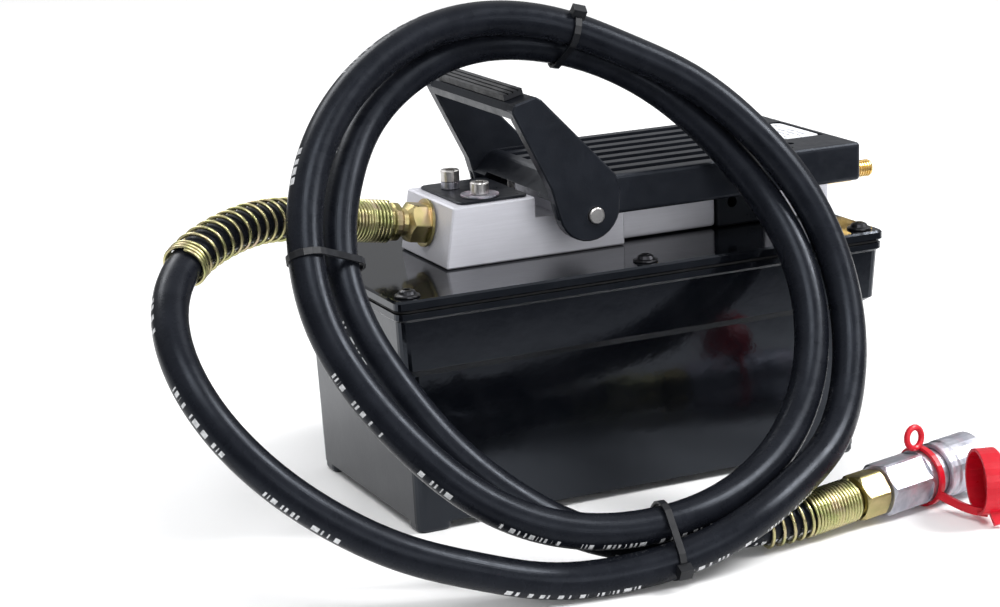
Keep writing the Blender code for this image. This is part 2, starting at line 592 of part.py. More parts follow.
def smooth_path(points, samples):
    """Points at even steps along a natural cubic spline through the given ones."""
    count = len(points)
    lengths = [0.0]
    for a, b in zip(points, points[1:]):
        lengths.append(lengths[-1] + (b - a).length)
    spans = [b - a for a, b in zip(lengths, lengths[1:])]
    second = [Vector() for _ in points]
    upper, right = [0.0] * count, [Vector() for _ in points]
    for i in range(1, count - 1):
        slope = (points[i + 1] - points[i]) / spans[i] - (points[i] - points[i - 1]) / spans[i - 1]
        pivot = 2 * (spans[i - 1] + spans[i]) - spans[i - 1] * upper[i - 1]
        upper[i] = spans[i] / pivot
        right[i] = (6 * slope - spans[i - 1] * right[i - 1]) / pivot
    for i in range(count - 2, 0, -1):
        second[i] = right[i] - upper[i] * second[i + 1]

    def at(s):
        i = max(0, min(count - 2, sum(1 for v in lengths if v <= s) - 1))
        h, t = spans[i], s - lengths[i]
        linear = points[i] * (1 - t / h) + points[i + 1] * (t / h)
        a, b = 1 - t / h, t / h
        return linear + (second[i] * (a**3 - a) + second[i + 1] * (b**3 - b)) * h * h / 6

    return [at(lengths[-1] * i / (samples - 1)) for i in range(samples)]


def coil_round(name, path, turns):
    """A wire wound round a path; turns gives, for each turn, how far it advances."""
    lengths = [0.0]
    for a, b in zip(path, path[1:]):
        lengths.append(lengths[-1] + (b - a).length)
    points, travelled, per_turn = [], 0.0, 10
    side = Vector((0, 0, 1))
    steps = [(turn, k) for turn in turns for k in range(per_turn)]
    for i, (advance, _) in enumerate(steps):
        j = max(0, min(len(path) - 2, sum(1 for v in lengths if v <= travelled) - 1))
        share = (travelled - lengths[j]) / (lengths[j + 1] - lengths[j])
        middle = path[j].lerp(path[j + 1], share)
        before = path[max(0, j - 1)]
        after = path[min(len(path) - 1, j + 2)]
        ahead = (after - before).normalized()
        side = (side - ahead * side.dot(ahead)).normalized()
        a = 2 * math.pi * i / per_turn
        points.append(middle + COIL_RADIUS * (side * math.cos(a) + ahead.cross(side) * math.sin(a)))
        travelled += advance / per_turn
    return wire(name, YELLOW_ZINC, points, WIRE_RADIUS)


def make_hose():
    """The hose, and its own centre line in short steps for what is wound or tied round it."""
    lead = 5 * MM
    start = along(HOSE_ROUTE[0], PORT_AXIS, lead)
    end = along(HOSE_ROUTE[-1], COUPLER_AXIS, -lead)
    middle = smooth_path([start, *HOSE_ROUTE[1:-1], end], HOSE_POINTS - 2)
    points = [HOSE_ROUTE[0], *middle, HOSE_ROUTE[-1]]
    wire("hose", HOSE_RUBBER, points, HOSE_RADIUS, 4)
    path = []
    for a, b in zip(points, points[1:]):
        path += [a.lerp(b, i / 10) for i in range(10)]
    return path + [points[-1]]


def make_port_end(path):
    """The hexagonal end screwed into the block, its crimped ferrule and the spring guard."""
    nipple = turned("hose_nipple", YELLOW_ZINC, [
        (3 * MM, 15.5 * MM), (6.8 * MM, 15.5 * MM), (7.4 * MM, 13 * MM), (9.6 * MM, 11.4 * MM),
        (11 * MM, 10.4 * MM), (11 * MM, 1.6 * MM), (9.9 * MM, 0.6 * MM), (6.6 * MM, 0.6 * MM),
        (6.6 * MM, -10 * MM), (3 * MM, -10 * MM),
    ], PORT_FACE, PORT_AXIS, 24, ring=True)
    combine(nipple, hexagon("nipple_hexagon", 19.4 * MM, -20 * MM, 20 * MM, PORT_FACE, PORT_AXIS), "INTERSECT")
    washer = tube(
        "nipple_washer", None, 12.6 * MM, 6 * MM,
        along(PORT_FACE, PORT_AXIS, 0.5 * MM), along(PORT_FACE, PORT_AXIS, 1.9 * MM),
    )
    combine(nipple, washer, "UNION")
    turned("port_ferrule", YELLOW_ZINC, [
        (0, 35.6 * MM), (8.6 * MM, 35.6 * MM), (8.9 * MM, 35 * MM), (8.9 * MM, 21.4 * MM), (9.9 * MM, 20.4 * MM),
        (9.9 * MM, 17.4 * MM), (8.4 * MM, 15.9 * MM), (0, 15.9 * MM),
    ], PORT_FACE, PORT_AXIS, 24)
    lead = [along(PORT_FACE, PORT_AXIS, (22.5 + i) * MM) for i in range(0, 13, 2)]
    lead.append(path[0])
    turns = [2.15 * MM] * 12 + [5 * MM] + [7.4 * MM] * 16 + [2.15 * MM] * 3
    coil_round("port_spring_guard", lead + path[4:], turns)


def make_coupler_end(path):
    """The far end: spring guard, ferrule, hexagonal nut, quick coupler and its red dust cap."""
    at = COUPLER_START
    turned("coupler_ferrule", YELLOW_ZINC, [
        (0, -7.6 * MM), (8.4 * MM, -7.6 * MM), (8.9 * MM, -8.4 * MM), (8.9 * MM, -21.5 * MM),
        (8.6 * MM, -22 * MM), (0, -22 * MM),
    ], at, COUPLER_AXIS, 24)
    lead = [along(at, COUPLER_AXIS, -(9.5 + i) * MM) for i in range(0, 13, 2)]
    lead.append(path[-1])
    turns = [2.1 * MM] * 14 + [3.5 * MM] + [5.6 * MM] * 4
    coil_round("coupler_spring_guard", lead + path[:-4][::-1], turns)
    nut = turned("hose_nut", YELLOW_ZINC, [
        (0, 9 * MM), (10.6 * MM, 9 * MM), (12.4 * MM, 7.6 * MM), (12.4 * MM, -5.6 * MM),
        (11 * MM, -7 * MM), (0, -7 * MM),
    ], at, COUPLER_AXIS, 24)
    combine(nut, hexagon("nut_hexagon", 22 * MM, -10 * MM, 20 * MM, at, COUPLER_AXIS), "INTERSECT")
    make_coupler(at)


def make_coupler(at):
    body = turned("coupler_body", ZINC, [
        (8.2 * MM, 72 * MM), (11.4 * MM, 72 * MM), (12.2 * MM, 71 * MM), (12.2 * MM, 44.4 * MM),
        (13.6 * MM, 43.8 * MM), (13.6 * MM, 36.8 * MM), (14.2 * MM, 36 * MM), (14.2 * MM, 10.8 * MM),
        (12.8 * MM, 9.4 * MM), (0, 9.4 * MM), (0, 36.4 * MM), (8.2 * MM, 42.4 * MM),
    ], at, COUPLER_AXIS, 30, ring=True)
    flats = hexagon("coupler_hexagon", 25.4 * MM, 7 * MM, 35.6 * MM, at, COUPLER_AXIS)
    shell = tube("coupler_flats", None, 20 * MM, 9 * MM, along(at, COUPLER_AXIS, 7.4 * MM), along(at, COUPLER_AXIS, 35.4 * MM))
    combine(shell, flats)
    combine(body, shell)
    turned("coupler_poppet", STEEL, [
        (0, 58.4 * MM), (3.4 * MM, 58.4 * MM), (5.6 * MM, 54.4 * MM), (5.6 * MM, 46.4 * MM), (3 * MM, 45.4 * MM),
        (3 * MM, 40.8 * MM), (0, 40.8 * MM),
    ], at, COUPLER_AXIS, 20)
    profile = [(13 * MM, 75 * MM), (14 * MM, 75 * MM), (15 * MM, 74 * MM)]
    profile += [(15 * MM, 55 * MM), (14.2 * MM, 54 * MM), (14.2 * MM, 51.6 * MM), (14.8 * MM, 50.8 * MM)]
    profile += [(14.8 * MM, 49 * MM), (14.2 * MM, 48.4 * MM), (12.6 * MM, 48.4 * MM), (12.6 * MM, 71 * MM)]
    turned("coupler_sleeve", ZINC, profile, at, COUPLER_AXIS, 32, ring=True)
    make_dust_cap(at)


def strip(name, points, width, thick, across):
    """A flat strap along a list of points, its width lying along one direction."""
    bm = bmesh.new()
    rings = []
    for i, p in enumerate(points):
        ahead = (points[min(i + 1, len(points) - 1)] - points[max(i - 1, 0)]).normalized()
        wide = (across - ahead * across.dot(ahead)).normalized() * width / 2
        deep = ahead.cross(wide).normalized() * thick / 2
        rings.append([bm.verts.new(p + wide * u + deep * v) for u, v in ((-1, -1), (1, -1), (1, 1), (-1, 1))])
    for lower, upper in zip(rings, rings[1:]):
        for i in range(4):
            j = (i + 1) % 4
            bm.faces.new((lower[i], lower[j], upper[j], upper[i]))
    bm.faces.new(rings[0])
    bm.faces.new(rings[-1])
    return place(name, mesh_of(name, bm), None)


def make_dust_cap(at):
    """The moulded cap with its strap: a ring on the coupler's neck, a loop, a strap and the cup itself."""
    ring_at = along(at, COUPLER_AXIS, 40.4 * MM)
    cap_at = Vector((130.3, -194.5, 20.6)) * MM
    cap_axis = Vector((-1, 0.305, 0)).normalized()
    cap = turned("dust_cap", RED_PLASTIC, [
        (15.3 * MM, 11 * MM), (16.8 * MM, 11 * MM), (16.8 * MM, 1.2 * MM), (15.6 * MM, 0), (0, 0),
        (0, 2 * MM), (15.3 * MM, 2 * MM),
    ], cap_at, cap_axis, 32, ring=True)
    keeper = turned("keeper_ring", None, [
        (14 * MM, 1.5 * MM), (15.8 * MM, 1.5 * MM), (15.8 * MM, -1.5 * MM), (14 * MM, -1.5 * MM),
    ], ring_at, COUPLER_AXIS, 32, ring=True)
    loop_arc = [math.radians(360 * i / 10) for i in range(10)]
    loop_at = ring_at + Vector((-5 * MM, -1 * MM, 21.2 * MM))
    loop = turned("keeper_loop", None, [
        (5.4 * MM + 1.6 * MM * math.cos(a), 1.6 * MM * math.sin(a)) for a in loop_arc[::-1]
    ], loop_at, (0.25, -1, 0.1), 18, ring=True)
    low_ring = ring_at + Vector((2, -13.6, -6.8)) * MM
    low_cap = cap_at + cap_axis * 7 * MM + Vector((0, -4, -15.5)) * MM
    tail = low_cap - low_ring
    route = [
        low_ring, low_ring + tail * 0.3 + Vector((0, -3, -1.2)) * MM,
        low_ring + tail * 0.7 + Vector((-1, -3, -0.6)) * MM, low_cap,
    ]
    strap = strip("cap_strap", smooth_path(route, 9), 4 * MM, 2 * MM, Vector((0, 0.3, 1)))
    down = Vector((0, -0.6, -0.8))
    tab_at = cap_at + cap_axis * 7 * MM
    tab = strip("cap_tab", [tab_at + down * 15.7 * MM, tab_at + down * 23 * MM], 6 * MM, 2.4 * MM, cap_axis)
    combine(cap, strap, "UNION")
    combine(cap, tab, "UNION")
    combine(cap, keeper, "UNION")
    combine(cap, loop, "UNION")


# ---------------------------------------------------------------- ties

def hull(points):
    """Convex hull of flat points, anticlockwise."""
    points = sorted(points)

    def half(ordered):
        chain = []
        for p in ordered:
            while len(chain) > 1 and (
                (chain[-1][0] - chain[-2][0]) * (p[1] - chain[-2][1])
                <= (chain[-1][1] - chain[-2][1]) * (p[0] - chain[-2][0])
            ):
                chain.pop()
            chain.append(p)
        return chain[:-1]

    return half(points) + half(points[::-1])


def make_tie(name, path, middle, reach, head_side):
    """A cable tie round every strand that passes within reach of a point."""
    middle = Vector(middle) * MM
    nearby = [i for i, p in enumerate(path) if (p - middle).length < reach]
    runs = []
    for i in nearby:
        if runs and i - runs[-1][-1] < 12:
            runs[-1].append(i)
        else:
            runs.append([i])
    first = min(runs[0], key=lambda i: (path[i] - middle).length)
    ahead = (path[first + 2] - path[first - 2]).normalized()
    crossings = [min(run, key=lambda i: abs((path[i] - path[first]).dot(ahead))) for run in runs]
    strands = [path[i] for i in crossings]
    ahead = sum(((path[i + 2] - path[i - 2]).normalized() for i in crossings), Vector()).normalized()
    middle = sum(strands, Vector()) / len(strands)
    frame = facing(ahead)
    turn = Matrix.Translation(middle) @ frame.to_4x4()
    flat = [turn.inverted() @ p for p in strands]

    def band(radius):
        rim = []
        for p in flat:
            for k in range(16):
                a = 2 * math.pi * (k + 0.5) / 16
                rim.append((p.x + radius * math.cos(a), p.y + radius * math.sin(a)))
        return hull(rim)

    def slab(label, outline, half, finish):
        made = prism(label, finish, outline, -half, half)
        # The outline lies in X and Z and runs along Y: turn it so that it runs along the strands.
        made.matrix_basis = turn @ Matrix.Rotation(math.radians(-90), 4, "X")
        return made

    outer, inner = band(HOSE_RADIUS + 1.9 * MM), band(HOSE_RADIUS + 0.7 * MM)
    tie = slab(name, outer, 1.7 * MM, BLACK_NYLON)
    lock = (frame.inverted() @ Vector(head_side)).to_2d().normalized()
    far = max(outer, key=lambda p: p[0] * lock.x + p[1] * lock.y)
    reach_out = far[0] * lock.x + far[1] * lock.y
    across = Vector((-lock.y, lock.x))
    spot = lock * (reach_out + 0.9 * MM) + across * (far[0] * across.x + far[1] * across.y)
    corners = []
    for du, dv in ((-3, -2.6), (3, -2.6), (3, 2.2), (-3, 2.2)):
        p = spot + across * du * MM + lock * dv * MM
        corners.append((p.x, p.y))
    combine(tie, slab(f"{name}_head", corners, 3.4 * MM, None), "UNION")
    combine(tie, slab(f"{name}_opening", inner, 10 * MM, None))


def make_ties(path):
    make_tie("tie_left", path, (-180.4, -88.5, 151.5), 24 * MM, (0.6, 1, 0))
    make_tie("tie_top", path, (-20.5, -33.5, 236.5), 24 * MM, (0, -0.5, 1))
    make_tie("tie_bottom", path, (-50, -178, 20), 24 * MM, (0, -1, -0.45))


make_tank()
make_gasket()
make_lid()
make_lid_screws()
make_pump_block()
make_top_plate()
make_plate_screws()
make_plunger_group()
make_suction()
make_air_motor()
make_treadle()
make_tread()
make_treadle_fittings()
hose_path = make_hose()
make_port_end(hose_path)
make_coupler_end(hose_path)
make_ties(hose_path)
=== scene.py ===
"""Looks of the air-driven hydraulic foot pump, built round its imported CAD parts. Metres, +Z up."""
import json
import math

import bmesh
import bpy
import numpy as np
from mathutils import Matrix, Vector


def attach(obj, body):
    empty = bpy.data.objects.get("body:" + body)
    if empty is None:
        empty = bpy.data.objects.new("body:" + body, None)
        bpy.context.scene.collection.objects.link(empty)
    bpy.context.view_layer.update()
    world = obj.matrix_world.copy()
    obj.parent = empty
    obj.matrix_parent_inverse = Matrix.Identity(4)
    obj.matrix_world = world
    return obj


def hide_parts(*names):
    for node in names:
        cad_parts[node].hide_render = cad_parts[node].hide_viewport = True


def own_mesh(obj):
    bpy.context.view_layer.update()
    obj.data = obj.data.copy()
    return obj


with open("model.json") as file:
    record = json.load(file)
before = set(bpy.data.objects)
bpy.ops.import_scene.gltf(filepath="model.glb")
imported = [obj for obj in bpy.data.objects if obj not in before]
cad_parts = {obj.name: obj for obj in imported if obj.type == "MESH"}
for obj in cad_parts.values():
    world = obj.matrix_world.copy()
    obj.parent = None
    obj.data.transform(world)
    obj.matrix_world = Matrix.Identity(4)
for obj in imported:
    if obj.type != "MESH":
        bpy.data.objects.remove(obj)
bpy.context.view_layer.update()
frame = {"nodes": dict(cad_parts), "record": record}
NODES = frame["nodes"]
MM = 0.001
SHIFT = Vector((-23 * MM, 0, 0))  # from the tank's middle to the part's origin

HOSE_RADIUS = 8.75 * MM
HOSE_SIDES = 40
PATH_POINTS = 900
WIRE_RADIUS = 0.9 * MM
COIL_RADIUS = 10.3 * MM  # from the hose's middle to the wire's middle
STEPS_PER_TURN = 40
PORT_TURNS = [2.0 * MM] * 13 + [4.5 * MM] + [7.35 * MM] * 16 + [2.1 * MM] * 3  # how far each turn advances
COUPLER_TURNS = [1.96 * MM] * 15 + [3.5 * MM] + [5.6 * MM] * 4
PORT_COIL_START, COUPLER_COIL_START = 22.5, 9.5  # mm from the port's face and from the coupler's start
CREASE = math.radians(32)  # edges sharper than this stay sharp on the CAD pieces
PORT_FACE = Vector((-89.2, 0, 144)) * MM
PORT_AXIS = Vector((-0.9876, 0, 0.157)).normalized()
COUPLER_START = Vector((70.7, -164.65, 14.64)) * MM
COUPLER_AXIS = Vector((61.5, 11.3, 2)).normalized()

HOSE_ROUTE = [Vector(p) * MM for p in (
    (-125, 0, 149.7), (-158.5, -10.6, 156.6), (-188.5, -27.7, 162.5), (-217, -47.4, 162.1),
    (-243.6, -69.3, 155), (-260.7, -97.6, 136.8), (-259.1, -128.6, 107.3), (-239.6, -148.4, 77.3),
    (-212.8, -162.7, 53.3), (-182.2, -174.9, 35.1), (-148.6, -180.4, 21.8), (-113.3, -183.4, 11.2),
    (-76.9, -188.6, 9.6), (-40.7, -191.8, 14.4), (-5.5, -188.8, 24.2), (27.4, -175.4, 34.2),
    (57, -159, 46.7), (77.7, -140.8, 70.5), (88.8, -121.7, 99.7), (89.6, -103.3, 131.2),
    (79.2, -87.3, 162.4), (59.7, -73.5, 190.1), (35.6, -58.5, 213.3), (5.2, -47.3, 230.5),
    (-27.3, -38.6, 245), (-62.9, -34.1, 251.9), (-99.2, -36, 248.5), (-132.4, -44.5, 235.8),
    (-160.2, -57.4, 215.9), (-180.2, -73.3, 189.8), (-190.7, -91.7, 160), (-191.4, -111.1, 129),
    (-180.7, -130, 99.7), (-162.4, -147.1, 72.8), (-138.8, -162.7, 49.7), (-107.9, -173.8, 33.8),
    (-72.4, -178.9, 27), (-35.8, -178.3, 27.6), (-0.9, -169.2, 33.6), (30.2, -155.4, 47),
    (54.3, -138.7, 68.6), (68.8, -119.7, 96.4), (72.5, -98.9, 126.1), (65.4, -77.1, 154.6),
    (49.4, -58.9, 182.1), (28.1, -41.4, 206.1), (-1.2, -29.5, 224.4), (-35.7, -23.5, 234.9),
    (-72.1, -23.4, 236.6), (-106.7, -30.4, 227.3), (-136, -42.1, 208.9), (-156.5, -59.3, 184),
    (-168.5, -77.9, 154.9), (-168.7, -97.8, 124.4), (-157.1, -115.8, 94.7), (-139.7, -132.1, 66.8),
    (-116.5, -147.3, 43.1), (-86.5, -158.8, 23.4), (-52.5, -166, 13), (-16.2, -170.3, 12.2),
    (14.4, -172.6, 12.2), (48.8, -168.7, 13.9),
)]


# ---------------------------------------------------------------- camera

CAMERA_PLACE = (-0.6121, -1.1626, 0.4258)
CAMERA_TURN = (24.923, 14.473, -2.1205)  # yaw, pitch down and roll, in degrees
LENS = 89.92


def make_camera():
    data = bpy.data.cameras.new("camera")
    data.sensor_width = 36
    data.lens = LENS
    data.clip_end = 20
    camera = bpy.data.objects.new("camera", data)
    bpy.context.scene.collection.objects.link(camera)
    yaw, pitch, roll = (math.radians(a) for a in CAMERA_TURN)
    level = Vector((math.sin(yaw), math.cos(yaw), 0))
    ahead = level * math.cos(pitch) - Vector((0, 0, math.sin(pitch)))
    right = Vector((math.cos(yaw), -math.sin(yaw), 0))
    up = right.cross(ahead)
    rolled_right = right * math.cos(roll) + up * math.sin(roll)
    rolled_up = up * math.cos(roll) - right * math.sin(roll)
    turn = Matrix((rolled_right, rolled_up, -ahead)).transposed()
    camera.matrix_world = Matrix.Translation(CAMERA_PLACE) @ turn.to_4x4()
    bpy.context.scene.camera = camera


make_camera()


# ---------------------------------------------------------------- materials

COOL = (0.78, 0.86, 1, 1)  # the studio's slightly blue sheen on black finishes


class Paint:
    """A node material, with short names for the nodes that the finishes here share."""

    def __init__(self, name, colour, roughness, metallic=0.0, **sockets):
        self.material = bpy.data.materials.new(name)
        self.material.use_nodes = True
        self.tree = self.material.node_tree
        self.shader = self.tree.nodes["Principled BSDF"]
        self.shader.inputs["Base Color"].default_value = (*colour, 1)
        self.shader.inputs["Roughness"].default_value = roughness
        self.shader.inputs["Metallic"].default_value = metallic
        for key, value in sockets.items():
            self.shader.inputs[key.replace("_", " ")].default_value = value
        self.place = self.node("ShaderNodeTexCoord").outputs["Object"]
        self.height = None

    def node(self, kind, **settings):
        made = self.tree.nodes.new(kind)
        for key, value in settings.items():
            setattr(made, key, value)
        return made

    def link(self, out, into):
        self.tree.links.new(out, into)

    def stretched(self, scale):
        mapping = self.node("ShaderNodeMapping")
        mapping.inputs["Scale"].default_value = scale
        self.link(self.place, mapping.inputs["Vector"])
        return mapping.outputs["Vector"]

    def noise(self, scale, detail=4.0, roughness=0.55, stretch=None, distortion=0.0):
        made = self.node("ShaderNodeTexNoise")
        made.inputs["Scale"].default_value = scale
        made.inputs["Detail"].default_value = detail
        made.inputs["Roughness"].default_value = roughness
        made.inputs["Distortion"].default_value = distortion
        self.link(self.stretched(stretch) if stretch else self.place, made.inputs["Vector"])
        return made.outputs["Fac"]

    def voronoi(self, scale, feature="F1"):
        made = self.node("ShaderNodeTexVoronoi", feature=feature)
        made.inputs["Scale"].default_value = scale
        self.link(self.place, made.inputs["Vector"])
        return made.outputs["Distance"]

    def attribute(self, name):
        return self.node("ShaderNodeAttribute", attribute_name=name).outputs["Fac"]

    def math(self, operation, a, b=None, c=None, clamp=False):
        made = self.node("ShaderNodeMath", operation=operation, use_clamp=clamp)
        for slot, value in zip(made.inputs, (a, b, c)):
            if value is None:
                continue
            if isinstance(value, (int, float)):
                slot.default_value = value
            else:
                self.link(value, slot)
        return made.outputs[0]

    def ramp(self, value, low, high, start=0.0, end=1.0):
        made = self.node("ShaderNodeMapRange")
        limits = {"From Min": low, "From Max": high, "To Min": start, "To Max": end}
        for key, number in limits.items():
            made.inputs[key].default_value = number
        self.link(value, made.inputs["Value"])
        return made.outputs[0]

    def blend(self, share, first, second, into="Base Color"):
        """Mixes two colours, each a triple or a socket, and links the result to an input if one is named."""
        made = self.node("ShaderNodeMix", data_type="RGBA")
        self.link(share, made.inputs["Factor"])
        for slot, value in ((made.inputs[6], first), (made.inputs[7], second)):
            if isinstance(value, tuple):
                slot.default_value = (*value, 1)
            else:
                self.link(value, slot)
        if into:
            self.link(made.outputs[2], self.shader.inputs[into])
        return made.outputs[2]

    def rough(self, value):
        self.link(value, self.shader.inputs["Roughness"])

    def bump(self, value, strength, distance):
        made = self.node("ShaderNodeBump")
        made.inputs["Strength"].default_value = strength
        made.inputs["Distance"].default_value = distance
        self.link(value, made.inputs["Height"])
        if self.height:
            self.link(self.height, made.inputs["Normal"])
        self.height = made.outputs["Normal"]
        self.link(self.height, self.shader.inputs["Normal"])

    def rounded(self, radius):
        """Softens the look of edges that the solid leaves sharp."""
        made = self.node("ShaderNodeBevel", samples=4)
        made.inputs["Radius"].default_value = radius
        self.height = made.outputs["Normal"]
        self.link(self.height, self.shader.inputs["Normal"])
        return self

    def worn_edges(self, colour, width, amount):
        """Lightens rubbed edges, found by how far a rounded normal leaves the true one."""
        bevel = self.node("ShaderNodeBevel", samples=4)
        bevel.inputs["Radius"].default_value = width
        flat = self.node("ShaderNodeNewGeometry").outputs["Normal"]
        dot = self.node("ShaderNodeVectorMath", operation="DOT_PRODUCT")
        self.link(bevel.outputs["Normal"], dot.inputs[0])
        self.link(flat, dot.inputs[1])
        edge = self.ramp(dot.outputs["Value"], 0.995, 0.8)
        patchy = self.ramp(self.noise(90, 6), 0.45, 0.7, 0, amount)
        share = self.math("MULTIPLY", edge, patchy, clamp=True)
        base = self.shader.inputs["Base Color"]
        first = base.links[0].from_socket if base.links else tuple(base.default_value)[:3]
        self.blend(share, first, colour)


def enamel():
    """Gloss black enamel over a casting: orange peel, faint dust and rubbed edges."""
    m = Paint(
        "gloss_black_enamel", (0.004, 0.0045, 0.006), 0.12, Specular_IOR_Level=0.42, Specular_Tint=COOL,
    )
    dust = m.ramp(m.noise(38, 8, 0.65), 0.42, 0.75)
    m.blend(dust, (0.0018, 0.0022, 0.0032), (0.0045, 0.0050, 0.0064))
    m.rough(m.ramp(m.noise(22, 7, 0.6), 0.3, 0.75, 0.05, 0.15))
    m.bump(m.noise(260, 3, 0.5), 0.08, 0.0005)
    m.bump(m.noise(30, 2, 0.5), 0.08, 0.003)
    m.worn_edges((0.05, 0.05, 0.055), 0.0007, 0.5)
    return m.material


def cast_black():
    """Satin black coating over a sand-cast surface."""
    m = Paint(
        "satin_black_casting", (0.008, 0.009, 0.012), 0.42, Specular_IOR_Level=0.34, Specular_Tint=COOL,
    )
    m.blend(m.ramp(m.noise(55, 8, 0.6), 0.35, 0.75), (0.0028, 0.0034, 0.0055), (0.0065, 0.0075, 0.0108))
    m.rough(m.ramp(m.noise(140, 6, 0.6), 0.3, 0.75, 0.30, 0.46))
    m.bump(m.noise(1500, 3, 0.6), 0.20, 0.0002)
    m.bump(m.voronoi(700, "SMOOTH_F1"), 0.12, 0.0002)
    m.worn_edges((0.06, 0.062, 0.068), 0.0009, 0.8)
    return m.material


def satin_black():
    m = Paint("satin_black_paint", (0.008, 0.008, 0.010), 0.35, Specular_IOR_Level=0.24, Specular_Tint=COOL)
    m.blend(m.ramp(m.noise(60, 7), 0.35, 0.7), (0.0040, 0.0046, 0.0064), (0.0100, 0.0108, 0.0138))
    m.rough(m.ramp(m.noise(120, 6), 0.3, 0.7, 0.26, 0.44))
    m.bump(m.noise(1300, 3), 0.15, 0.0002)
    m.worn_edges((0.12, 0.12, 0.125), 0.0006, 0.8)
    return m.material


def machined(name, colour, stretch, dark, roughness, grain, metallic=1.0):
    """Milled or turned light metal, with its tool marks along one direction."""
    m = Paint(name, colour, 0.35, metallic)
    lines = m.noise(900, 3, 0.6, stretch)
    cloud = m.noise(45, 6, 0.6)
    low = tuple(c * dark for c in colour)
    mixed = m.math("MULTIPLY_ADD", lines, 0.55, m.math("MULTIPLY", cloud, 0.5))
    m.blend(m.ramp(mixed, 0.38, 0.68), low, colour)
    m.rough(m.ramp(mixed, 0.35, 0.7, *roughness))
    m.rounded(0.0004)
    m.bump(lines, grain, 0.00012)
    return m.material


def plated(name, colours, roughness, rounding=0.35 * MM):
    """Zinc plate: a base colour that drifts between three shades."""
    m = Paint(name, colours[0], roughness, 1.0)
    fine = m.ramp(m.noise(95, 5, 0.6, distortion=0.6), 0.40, 0.66)
    broad = m.ramp(m.noise(60, 5, 0.6, distortion=1.2), 0.52, 0.74)
    first = m.blend(fine, colours[0], colours[1], None)
    m.blend(broad, first, colours[2])
    m.rough(m.ramp(m.noise(210, 5), 0.3, 0.7, roughness * 0.75, roughness * 1.5))
    if rounding:
        m.rounded(rounding)
    m.bump(m.noise(1100, 3), 0.07, 0.00012)
    return m.material


PRINT_WIDTH = 0.066  # as a share of half the hose's way round
BAR_LENGTH = 1.15 * MM
LETTER_LENGTH, LETTER_INKED = 5.2 * MM, 0.74
WORD_LENGTH = 20.8 * MM
LINE_LENGTH, LINE_INKED = 0.39, 0.8


def rubber_hose():
    """Extruded black cover with a printed line of plain bars, like a code, along its outside."""
    m = Paint("hose_rubber", (0.008, 0.0085, 0.011), 0.4, Specular_IOR_Level=0.15, Specular_Tint=COOL)
    along, around = m.attribute("along"), m.attribute("around")
    cloud = m.ramp(m.noise(70, 7, 0.6), 0.35, 0.75)
    black = m.blend(cloud, (0.0038, 0.0044, 0.0066), (0.0078, 0.0088, 0.0122), None)

    def random_step(length, seed):
        cell = m.math("FLOOR", m.math("DIVIDE", along, length))
        noise_1d = m.node("ShaderNodeTexWhiteNoise", noise_dimensions="1D")
        m.link(m.math("ADD", cell, seed), noise_1d.inputs["W"])
        return noise_1d.outputs["Value"]

    def first_part(length, inked):
        """1 in the first part of each such length, and 0 in the rest."""
        return m.math("LESS_THAN", m.math("FRACT", m.math("DIVIDE", along, length)), inked)

    band = m.math("LESS_THAN", around, PRINT_WIDTH)
    bar = m.math("GREATER_THAN", random_step(BAR_LENGTH, 3.0), 0.5)
    letter = first_part(LETTER_LENGTH, LETTER_INKED)
    word = m.math("GREATER_THAN", random_step(WORD_LENGTH, 11.0), 0.3)
    line = first_part(LINE_LENGTH, LINE_INKED)
    ink = band
    for part in (bar, letter, word, line):
        ink = m.math("MULTIPLY", ink, part)
    faded = m.math("MULTIPLY", ink, m.ramp(m.noise(420, 4), 0.3, 0.55, 0.5, 0.9), clamp=True)
    m.blend(faded, black, (0.62, 0.63, 0.64))
    m.rough(m.ramp(m.noise(160, 6), 0.3, 0.75, 0.22, 0.36))
    m.bump(m.noise(1600, 3), 0.10, 0.00012)
    fabric = m.node("ShaderNodeCombineXYZ")
    m.link(m.math("MULTIPLY", along, 9.0), fabric.inputs[0])
    m.link(m.math("MULTIPLY", around, 20.0), fabric.inputs[1])
    streak = m.node("ShaderNodeTexNoise")
    streak.inputs["Scale"].default_value = 3.0
    streak.inputs["Detail"].default_value = 3.0
    m.link(fabric.outputs[0], streak.inputs["Vector"])
    m.bump(streak.outputs["Fac"], 0.14, 0.0005)
    return m.material


LABEL_LOW, LABEL_HIGH = 0.0945, 0.1115  # the printed rows, along the cover
LABEL_HALF = 0.017  # and across it
ROW_PITCH, BAR_PITCH = 4.2 * MM, 3.4 * MM


